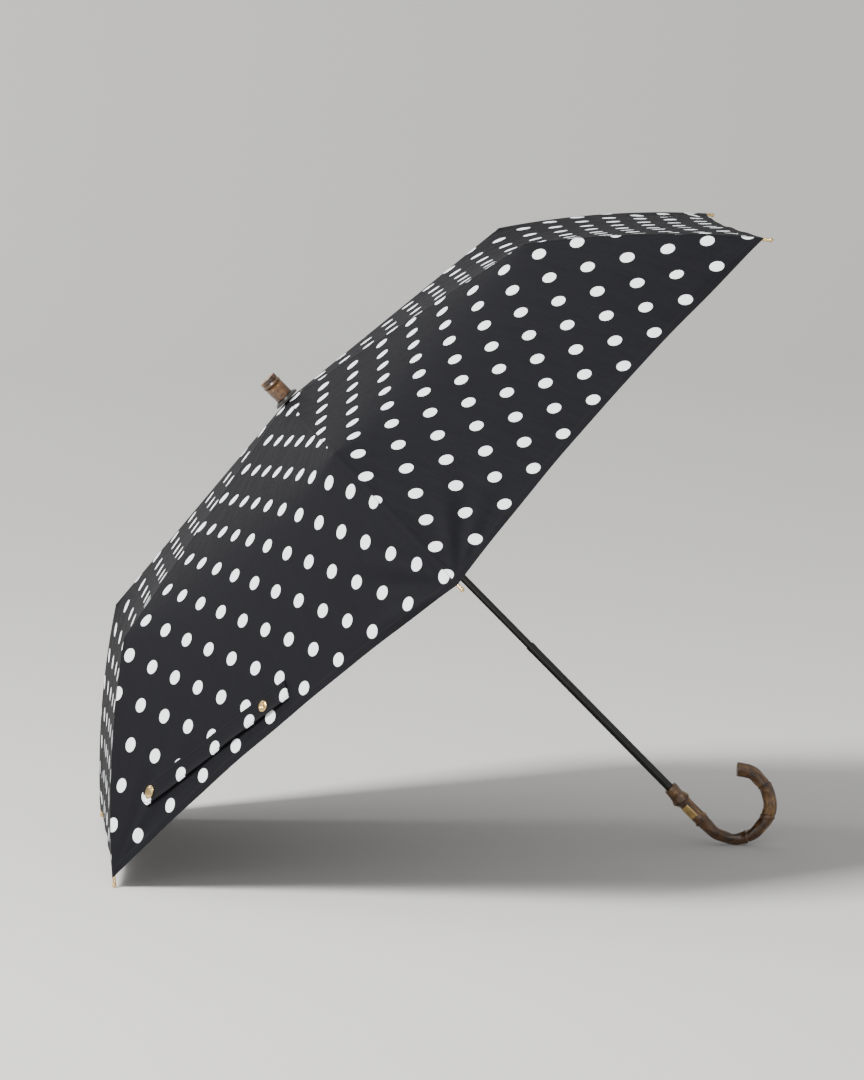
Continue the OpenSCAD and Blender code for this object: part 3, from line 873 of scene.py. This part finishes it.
def makeBrassMaterial():
    material, tree, shader = newMaterial("brass")
    scratches = useGroup(tree, scratchGroup, {"Vector": objectPlace(tree), "Scale": 900.0, "Density": 0.6})
    tarnish = between(tree, scratches["Patches"], 0.45, 0.75)
    plug(tree, shader.inputs["Base Color"], mix(tree, tarnish, snaps["brass"], snaps["tarnish"]))
    shader.inputs["Metallic"].default_value = 1.0
    rough = calc(tree, "MULTIPLY_ADD", tarnish, 0.16, 0.20)
    plug(tree, shader.inputs["Roughness"], calc(tree, "MULTIPLY_ADD", scratches["Lines"], 0.15, rough))
    addBump(tree, shader, scratches["Lines"], 0.3, 0.0002)
    return material


brassMaterial = makeBrassMaterial()
snapPiece = makeSnap("strap_snap_cap", snaps["cap"], snaps["capRadius"], *capSpot)
ringPiece = makeSnap("strap_snap_ring", snaps["ring"], snaps["ringRadius"], *ringSpot)
for piece, nodeName in ((snapPiece, "strap_snap"), (ringPiece, "strap_stud")):
    piece.data.materials.append(brassMaterial)
    followStrap(piece, nodeName, "brass")
print("stage: strap and snaps made")

handle = {
    "top": 0.483,            # below the crown
    "grip": 0.0515,          # length of the straight part
    "crook": 0.031,          # radius of the crook's centre line
    "sweep": 222.0,          # degrees
    "segments": 96,
    "stations": 420,
    "roughness": 0.0003,     # how uneven the bamboo is
    "seed": 5,
    "capDepth": 0.0012,
    "darkness": 0.045,
    "nodes": [0.0150, 0.0400, 0.0860, 0.1130, 0.1420],
    # radius of the bamboo at lengths along it
    "radii": [
        (0.0, 0.0060), (0.003, 0.0064), (0.009, 0.0066), (0.0135, 0.0077), (0.0165, 0.0074),
        (0.020, 0.0061), (0.030, 0.0058), (0.0385, 0.0061), (0.0415, 0.0068), (0.045, 0.0060),
        (0.056, 0.0055), (0.076, 0.0048), (0.092, 0.0057), (0.110, 0.0061), (0.130, 0.0061),
        (0.150, 0.0060), (0.165, 0.0060), (0.1716, 0.0063),
    ],
}
ferrule = {
    "bottom": 0.0040,        # above the crown
    "top": 0.0259,
    "radius": 0.0082,
    "rounding": 0.0004,
    "segments": 96,
    "stations": 120,
    "roughness": 0.00010,
    "seed": 11,
    "capDepth": 0.0006,
    "darkness": 0.10,
    "nodes": [0.0160],
}
bambooLook = {
    "tan": (0.36, 0.205, 0.080, 1.0),
    "brown": (0.135, 0.062, 0.022, 1.0),
    "burnt": (0.030, 0.014, 0.007, 1.0),
    "cut": (0.30, 0.19, 0.09, 1.0),
    "mottle": 48.0,
    "halfRound": 0.019,      # half the way round the bamboo, for the grain
    "nodeMark": 0.0009,      # width of the dark line at a node
}


def smoothSteps(length, table):
    # piecewise curve through the table with flat-ended smooth steps between its points
    at, value = np.array(table).T
    k = np.clip(np.searchsorted(at, length, side="right") - 1, 0, len(at) - 2)
    s = np.clip((length - at[k]) / (at[k + 1] - at[k]), 0, 1)
    return value[k] + (value[k + 1] - value[k]) * s * s * (3 - 2 * s)


def bambooRadius(length, angle, base, look):
    # base radius + ridge and groove at every node + a few slow waves round and along
    rng = np.random.default_rng(look["seed"])
    radius = base.copy()
    for at in look["nodes"]:
        lean = 0.0009 * np.sin(angle + rng.uniform(0, fullTurn))
        d = length - at - lean
        ridge = 0.00055 * np.exp(-(d / 0.0012) ** 2)
        groove = 0.00045 * np.exp(-((d - 0.0021) / 0.0006) ** 2)
        radius += ridge - groove
        bud = np.cos(angle - rng.uniform(0, fullTurn))
        radius += 0.0007 * np.exp(-(d / 0.0025) ** 2) * np.clip(bud, 0, 1) ** 8
    for wave in range(9):
        turns, pitch = rng.integers(1, 5), rng.uniform(40, 420)
        size = look["roughness"] * rng.uniform(0.3, 1) / (1 + 0.3 * turns)
        radius += size * np.sin(turns * angle + pitch * length + rng.uniform(0, fullTurn))
    return radius


def bambooTube(name, centres, normals, binormals, lengths, radii, angles, look):
    # centre + radius (normal cos a + binormal sin a), closed at both ends by dished caps
    capRings = ((0.93, -0.15), (0.8, 0.0), (0.45, 0.3), (0.12, 1.0))    # shares of radius and depth
    segments, depth = len(angles), look["capDepth"]
    around = angles[None, :, None]
    ringDirs = normals[:, None] * np.cos(around) + binormals[:, None] * np.sin(around)
    tangents = np.cross(normals, binormals)
    body = centres[:, None] + ringDirs * radii[:, :, None]
    caps = []
    for end, sign in ((0, -1), (-1, 1)):
        rim = ringDirs[end] * radii[end][:, None]
        dish = sign * tangents[end] * depth
        caps.append([centres[end] + rim * share - dish * sink for share, sink in capRings])
    ordered = caps[0][::-1] + list(body) + caps[1]
    middles = [[centres[0] + tangents[0] * depth], [centres[-1] - tangents[-1] * depth]]
    points = np.concatenate([np.array(ordered).reshape(-1, 3)] + middles)
    faces = gridFaces(len(ordered), segments, wrap=True)
    first, last = len(ordered) * segments, len(ordered) * segments + 1
    base = first - segments
    faces += [[first, (j + 1) % segments, j] for j in range(segments)]
    faces += [[last, base + j, base + (j + 1) % segments] for j in range(segments)]
    # grain: length along the bamboo and the way round it; cut: 1 on the sawn ends;
    # marks: how near a node is, exp(-(distance / width)^2)
    ends = len(capRings)
    alongRows = np.concatenate([np.full(ends, lengths[0]), lengths, np.full(ends, lengths[-1])])
    along = np.concatenate([np.repeat(alongRows, segments), [lengths[0], lengths[-1]]])
    wayRound = np.abs(np.linspace(-1, 1, segments, endpoint=False)) * bambooLook["halfRound"]
    wayRound = np.concatenate([np.tile(wayRound, len(ordered)), [0, 0]])
    cut = np.concatenate([np.ones(ends), np.zeros(len(lengths)), np.ones(ends)])
    cut = np.concatenate([np.repeat(cut, segments), [1, 1]])
    near = sum(np.exp(-((along - at - 0.0012) / bambooLook["nodeMark"]) ** 2) for at in look["nodes"])
    marks = np.clip(near, 0, 1)
    maps = {"grain": (along, wayRound), "cut": (cut, cut), "marks": (marks, marks)}
    return addObject(name, points, faces, {n: np.stack(uv, 1) for n, uv in maps.items()})


def makeBambooMaterial(name, darkness):
    material, tree, shader = newMaterial(name)
    tan, brown, burnt = bambooLook["tan"], bambooLook["brown"], bambooLook["burnt"]
    spot = objectPlace(tree)
    grain = uvMap(tree, "grain")
    marks = split(tree, uvMap(tree, "marks"))["X"]
    cut = split(tree, uvMap(tree, "cut"))["X"]
    # scorched patches, drawn out along the stalk
    drawn = stretch(tree, grain, (1.0, 2.2, 1.0))
    patches = noise(tree, drawn, bambooLook["mottle"] * 1.6, 4.0, roughness=0.62, distortion=0.8)
    cloud = noise(tree, spot, bambooLook["mottle"], 3.0, distortion=0.5)
    streaks = noise(tree, stretch(tree, grain, (40.0, 1500.0, 1.0)), 1.0, 4.0)
    scorch = calc(tree, "ADD", calc(tree, "MULTIPLY", patches, 0.6), calc(tree, "MULTIPLY", cloud, 0.4))
    scorch = calc(tree, "ADD", scorch, darkness)
    dark = calc(tree, "MULTIPLY", between(tree, streaks, 0.45, 0.7), 0.35)
    nodeDark = calc(tree, "MULTIPLY", marks, between(tree, cloud, 0.30, 0.75))
    colour = mix(tree, between(tree, scorch, 0.40, 0.56), tan, brown)
    colour = mix(tree, between(tree, scorch, 0.53, 0.68), colour, burnt)
    colour = mix(tree, dark, colour, burnt)
    colour = mix(tree, nodeDark, colour, burnt)
    fibres = node(tree, "ShaderNodeTexVoronoi", {"Vector": spot, "Scale": 1700.0})
    fibreEdge = between(tree, fibres.outputs["Distance"], 0.2, 0.5)
    colour = mix(tree, cut, colour, mix(tree, fibreEdge, burnt, bambooLook["cut"]))
    dust = useGroup(tree, dustGroup, {"Vector": spot, "Amount": 0.08})["Mask"]
    plug(tree, shader.inputs["Base Color"], mix(tree, dust, colour, grey(0.5)))
    rough = calc(tree, "MULTIPLY_ADD", scorch, 0.25, 0.20)
    plug(tree, shader.inputs["Roughness"], calc(tree, "MULTIPLY_ADD", cut, 0.35, rough))
    shader.inputs["Coat Weight"].default_value = 0.45
    shader.inputs["Coat Roughness"].default_value = 0.22
    height = calc(tree, "MULTIPLY", streaks, 0.00010)
    addBump(tree, shader, calc(tree, "MULTIPLY_ADD", cloud, 0.0006, height), 0.8)
    return material


def makeStalk(name, centres, tangents, lengths, base, look):
    # a bamboo piece round its centre line
    normals = np.tile([0.0, 1.0, 0.0], (len(lengths), 1))
    binormals = np.cross(tangents, normals)
    angles = np.linspace(0, 2 * np.pi, look["segments"], endpoint=False)
    base = np.repeat(base[:, None], len(angles), axis=1)
    radii = bambooRadius(lengths[:, None], angles[None, :], base, look)
    return bambooTube(name, toRow(centres), turnToRow(normals), turnToRow(binormals),
                      lengths, radii, angles, look)


def makeHandle():
    # centre line: straight down the shaft, then a circle towards the crook's side
    total = handle["grip"] + handle["crook"] * radians(handle["sweep"])
    lengths = np.linspace(0, total, handle["stations"])
    turn = np.clip(lengths - handle["grip"], 0, None) / handle["crook"]
    straight = np.minimum(lengths, handle["grip"])
    centres = np.stack([
        handle["crook"] * (1 - np.cos(turn)),
        np.zeros_like(turn),
        -handle["top"] - straight - handle["crook"] * np.sin(turn)], 1)
    tangents = np.stack([np.sin(turn), np.zeros_like(turn), -np.cos(turn)], 1)
    base = smoothSteps(lengths, handle["radii"])
    piece = makeStalk("handle_bamboo", centres, tangents, lengths, base, handle)
    piece.data.materials.append(makeBambooMaterial("bambooHandle", handle["darkness"]))
    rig.ride(piece, "handle")
    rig.replaces(piece, "handle")
    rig.slot(piece, "bamboo")


def makeFerrule():
    lengths = np.linspace(0, ferrule["top"] - ferrule["bottom"], ferrule["stations"])
    heights = ferrule["bottom"] + lengths
    centres = np.stack([0 * heights, 0 * heights, heights], 1)
    tangents = np.tile([0.0, 0.0, 1.0], (len(heights), 1))
    toTop = lengths[-1] - lengths
    taper = np.clip(lengths / 0.0006, 0, 1) ** 0.5 * np.clip(toTop / 0.0005, 0, 1) ** 0.5
    base = ferrule["radius"] - ferrule["rounding"] * (1 - taper)
    piece = makeStalk("ferrule_bamboo", centres, tangents, lengths, base, ferrule)
    piece.data.materials.append(makeBambooMaterial("bambooFerrule", ferrule["darkness"]))
    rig.ride(piece, "upper_tube")
    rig.replaces(piece, "ferrule")
    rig.slot(piece, "bamboo")


makeHandle()
makeFerrule()
print("stage: handle and ferrule made")

lacquerLook = {
    "black": (0.012, 0.0115, 0.011, 1.0),
    "bare": (0.10, 0.095, 0.09, 1.0),
    "roughness": 0.30,
    "wear": 0.35,
    "dust": 0.18,
}


def makeLacquerMaterial():
    material, tree, shader = newMaterial("blackSteel")
    spot = objectPlace(tree)
    scratches = useGroup(tree, scratchGroup, {"Vector": spot, "Scale": 320.0, "Density": 0.35})
    dust = useGroup(tree, dustGroup, {"Vector": spot, "Amount": lacquerLook["dust"]})["Mask"]
    worn = calc(tree, "MULTIPLY", scratches["Lines"], lacquerLook["wear"])
    colour = mix(tree, worn, lacquerLook["black"], lacquerLook["bare"])
    plug(tree, shader.inputs["Base Color"], mix(tree, dust, colour, grey(0.3)))
    rough = calc(tree, "MULTIPLY_ADD", scratches["Patches"], 0.16, lacquerLook["roughness"] - 0.08)
    plug(tree, shader.inputs["Roughness"], calc(tree, "MULTIPLY_ADD", dust, 0.4, rough))
    peel = noise(tree, spot, 700.0, 1.0)
    scored = calc(tree, "MULTIPLY", scratches["Lines"], -0.00002)
    addBump(tree, shader, calc(tree, "MULTIPLY_ADD", peel, 0.00003, scored), 0.6)
    shader.inputs["Specular IOR Level"].default_value = 0.5
    return material


finishes = {"black_steel": makeLacquerMaterial(), "brass": brassMaterial, "black_fabric": fabricMaterial}
for name, cadNode in frame["nodes"].items():
    slotName = next(s["material_slot"] for s in frame["record"]["subparts"] if s["node"] == name)
    if cadNode.hide_render or slotName not in finishes:
        continue
    cadNode.data.materials.clear()
    cadNode.data.materials.append(finishes[slotName])
    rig.slot(cadNode, slotName)
print("stage: CAD pieces finished")

studio = {
    "floor": (0.615, 0.608, 0.590, 1.0),
    "near": -9.0,
    "wall": 10.0,
    "bend": 4.0,
    "height": 9.0,
    "halfWidth": 12.0,
    "world": 0.60,
    "lights": {
        # place, aimed at, size, power in watts, colour
        "key": ((-2.6, -1.6, 3.2), (0.0, 0.2, 0.0), (1.6, 1.6), 400.0, (1.0, 0.995, 0.985)),
        "wall": ((-5.0, 4.5, 4.0), (-1.5, 8.5, 0.6), (2.5, 2.5), 420.0, (1.0, 1.0, 1.0)),
        "front": ((0.4, -4.5, 2.6), (0.0, 0.0, 0.2), (3.0, 2.0), 32.0, (1.0, 1.0, 1.0)),
    },
}


def makeSweep():
    # the sweep's profile: floor, quarter circle, wall; drawn out sideways
    arc = np.linspace(0, np.pi / 2, 25)
    bend = studio["bend"]
    profile = np.concatenate([
        [[studio["near"], 0.0]],
        np.stack([studio["wall"] - bend + bend * np.sin(arc), bend * (1 - np.cos(arc))], 1),
        [[studio["wall"], studio["height"]]]])
    sides = np.tile([-studio["halfWidth"], studio["halfWidth"]], (len(profile), 1))
    points = np.stack([sides, np.repeat(profile[:, :1], 2, 1), np.repeat(profile[:, 1:], 2, 1)], -1)
    sweep = addObject("studio_sweep", points.reshape(-1, 3), gridFaces(len(profile), 2))
    material, tree, shader = newMaterial("studioPaper")
    soft = noise(tree, objectPlace(tree), 0.8, 2.0)
    tint = mix(tree, soft, studio["floor"], shade(studio["floor"], 0.985))
    plug(tree, shader.inputs["Base Color"], tint)
    shader.inputs["Roughness"].default_value = 0.8
    shader.inputs["Specular IOR Level"].default_value = 0.2
    sweep.data.materials.append(material)
    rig.stage(sweep)


def makeLights():
    for name, (place, target, size, power, colour) in studio["lights"].items():
        data = bpy.data.lights.new(name, "AREA")
        data.shape = "RECTANGLE"
        data.size, data.size_y = size
        data.energy, data.color = power, colour
        lamp = bpy.data.objects.new(name, data)
        bpy.context.scene.collection.objects.link(lamp)
        lamp.location = place
        lamp.rotation_mode = "QUATERNION"
        lamp.rotation_quaternion = (Vector(target) - Vector(place)).to_track_quat("-Z", "Y")
        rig.stage(lamp)
    world = bpy.data.worlds.new("studio")
    world.use_nodes = True
    background = world.node_tree.nodes["Background"]
    background.inputs["Color"].default_value = grey(1.0)
    background.inputs["Strength"].default_value = studio["world"]
    bpy.context.scene.world = world


makeSweep()
makeLights()
print("stage: studio made")

boundsAfter = [list(corner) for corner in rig.bounds()]
with open("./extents.json", "w") as f:
    json.dump({"before": boundsBefore, "after": boundsAfter}, f)
